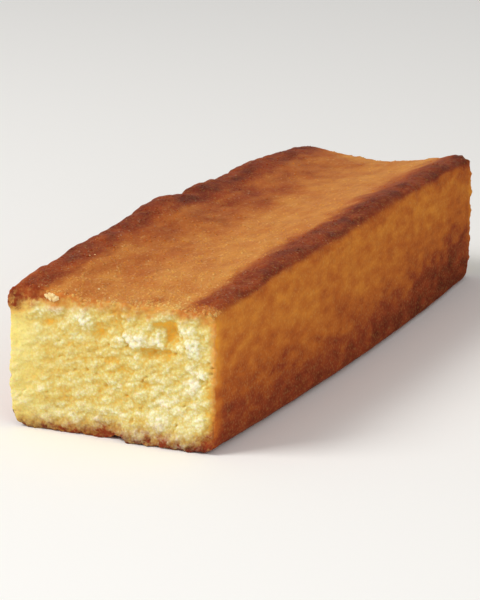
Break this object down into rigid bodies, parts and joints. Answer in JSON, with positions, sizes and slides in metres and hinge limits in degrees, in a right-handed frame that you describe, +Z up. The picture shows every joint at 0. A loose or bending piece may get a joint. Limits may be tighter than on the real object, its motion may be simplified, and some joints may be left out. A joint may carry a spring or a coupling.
{
  "type": "cheesecake bar",
  "caption": "Baked cheesecake in a long bar: browned top sunken between raised rims, straight sides, rounded foot and a pale crumbly cut at each end. Lies on its flat base.",
  "frame": {"origin": "middle of the flat base, at the centre of the part's box", "axes": "+Y along the bar from the front cut to the back cut, +Z up, +X to the side with the lower rim"},
  "size_m": [0.0376, 0.1232, 0.0257],
  "materials": {
    "baked_cake": "browned crust, matt to faintly greasy, with pale yellow crumb on the cuts"
  },
  "bodies": {
    "root": {"cheesecake": "baked_cake"}
  },
  "joints": []
}
